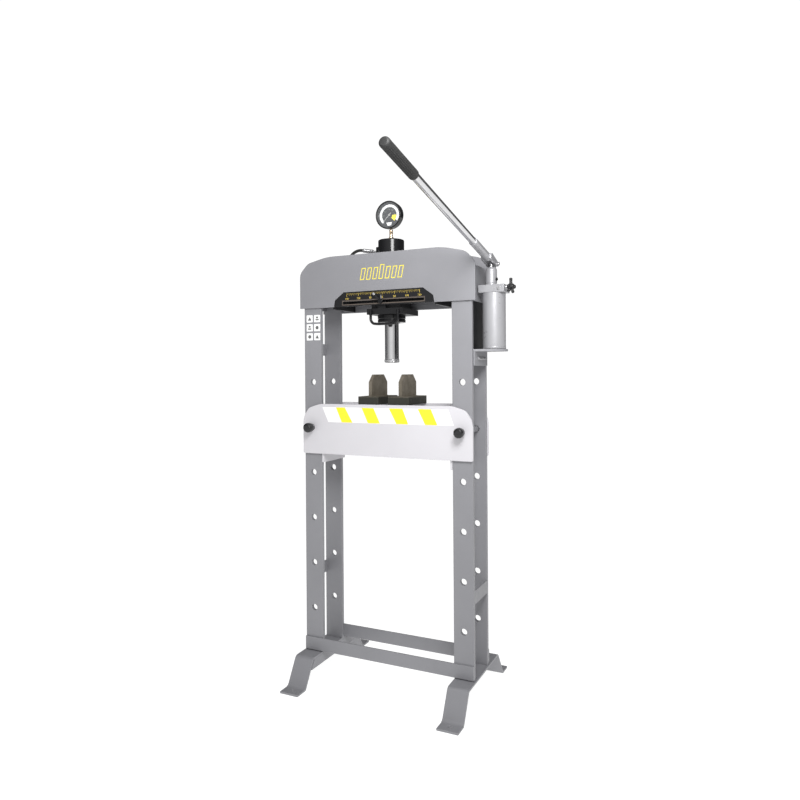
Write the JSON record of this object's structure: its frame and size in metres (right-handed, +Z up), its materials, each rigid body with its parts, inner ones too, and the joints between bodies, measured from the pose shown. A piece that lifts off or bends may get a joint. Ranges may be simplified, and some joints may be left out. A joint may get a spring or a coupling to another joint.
{
  "type": "hydraulic shop press",
  "caption": "Floor-standing hydraulic shop press: flat-bar H-frame, height-adjustable bed with V-blocks, cylinder on a sliding carriage, pressure gauge and side-mounted hand pump.",
  "frame": {"origin": "floor level, at the bottom centre of the box around the whole press at rest", "axes": "+Z up, +X to the right as the operator faces the press, +Y away from the operator"},
  "size_m": [0.839, 1.1516, 1.828],
  "materials": {
    "grey_paint": "satin mid grey powder coat",
    "light_paint": "satin light grey powder coat",
    "black_paint": "gloss black paint",
    "pump_paint": "silver grey paint",
    "chrome": "hard chrome",
    "steel": "machined steel",
    "brass": "turned brass",
    "cast": "dark cast iron",
    "rubber": "matt black rubber",
    "plastic": "moulded black plastic",
    "dial": "printed dial",
    "lens": "clear glass"
  },
  "bodies": {
    "frame": {"post_front_left": "grey_paint", "post_front_right": "grey_paint", "post_rear_left": "grey_paint", "post_rear_right": "grey_paint", "batten_lower_left": "grey_paint", "batten_lower_right": "grey_paint", "batten_upper_left": "grey_paint", "foot_left": "grey_paint", "foot_right": "grey_paint", "foot_rib_left": "grey_paint", "foot_rib_right": "grey_paint", "head_side_left": "grey_paint", "head_side_right": "grey_paint", "head_rib_left": "grey_paint", "head_rib_right": "grey_paint", "base_strip_front": "grey_paint", "base_strip_rear": "grey_paint", "guide_rail_front": "grey_paint", "guide_rail_rear": "grey_paint", "head_plate_front": "grey_paint", "head_plate_rear": "grey_paint", "pump_bracket": "grey_paint", "bed_plate_front": "light_paint", "bed_plate_rear": "light_paint", "bed_cheek_left": "light_paint", "bed_cheek_right": "light_paint", "scale_plate": "black_paint", "pump_mount_plate": "black_paint", "pump_reservoir": "pump_paint", "pump_block": "pump_paint", "pump_barrel": "pump_paint", "pump_union": "steel", "fulcrum_link": "steel", "lever_pin": "steel"},
    "carriage": {"carriage": "black_paint", "carriage_handle": "black_paint", "cylinder_body": "black_paint", "cylinder_gland": "black_paint", "hose_ferrule": "steel", "hose": "rubber", "return_spring": "steel", "gauge_stem": "brass", "gauge_case": "black_paint", "gauge_dial": "dial", "gauge_lens": "lens"},
    "ram": {"ram": "chrome", "ram_saddle": "steel"},
    "gauge_needle": {"gauge_needle": "dial"},
    "lock_lever": {"lock_lever": "black_paint"},
    "bed_pin_left": {"bed_pin_left": "steel", "pin_knob_left": "plastic"},
    "bed_pin_right": {"bed_pin_right": "steel", "pin_knob_right": "plastic"},
    "pump_lever": {"lever_socket": "pump_paint", "lever_tube": "chrome", "lever_grip": "rubber"},
    "pump_plunger": {"pump_plunger": "steel"},
    "release_knob": {"release_knob": "plastic"},
    "v_block_left": {"v_block_left": "cast"},
    "v_block_right": {"v_block_right": "cast"}
  },
  "joints": [
    {"name": "carriage_slide", "type": "slide", "parent": "frame", "child": "carriage", "axis": [1, 0, 0], "range_m": [-0.145, 0.145], "deforming": ["hose"]},
    {"name": "ram_slide", "type": "slide", "parent": "carriage", "child": "ram", "axis": [0, 0, -1], "range_m": [-0.13, 0.03], "deforming": ["return_spring"]},
    {"name": "gauge_needle_turn", "type": "hinge", "parent": "carriage", "child": "gauge_needle", "pos_m": [-0.0645, 0.26879, 1.775], "axis": [0, 1, 0], "range_deg": [0, 270], "stiffness_Nm_per_rad": 0.001, "springref_deg": -28.65},
    {"name": "lock_lever_turn", "type": "hinge", "parent": "carriage", "child": "lock_lever", "pos_m": [-0.0645, 0.18179, 1.4435], "axis": [0, 1, 0], "range_deg": [0, 90]},
    {"name": "bed_pin_left_slide", "type": "slide", "parent": "frame", "child": "bed_pin_left", "axis": [0, -1, 0], "range_m": [0, 0.195]},
    {"name": "bed_pin_right_slide", "type": "slide", "parent": "frame", "child": "bed_pin_right", "axis": [0, -1, 0], "range_m": [0, 0.195]},
    {"name": "pump_lever_hinge", "type": "hinge", "parent": "frame", "child": "pump_lever", "pos_m": [0.3315, 0.29379, 1.564], "axis": [-1, 0, 0], "range_deg": [0, 55]},
    {"name": "pump_plunger_slide", "type": "slide", "parent": "frame", "child": "pump_plunger", "axis": [0, 0, 1], "range_m": [0, 0.0145]},
    {"name": "release_knob_turn", "type": "hinge", "parent": "frame", "child": "release_knob", "pos_m": [0.3955, 0.27679, 1.478], "axis": [1, 0, 0], "range_deg": [0, 270]},
    {"name": "v_block_left_slide", "type": "slide", "parent": "frame", "child": "v_block_left", "axis": [1, 0, 0], "range_m": [-0.1, 0.015]},
    {"name": "v_block_right_slide", "type": "slide", "parent": "frame", "child": "v_block_right", "axis": [1, 0, 0], "range_m": [-0.015, 0.1]}
  ],
  "couplings": [
    {"joint": "pump_plunger_slide", "follows": "pump_lever_hinge", "m_per_rad": 0.0149}
  ]
}
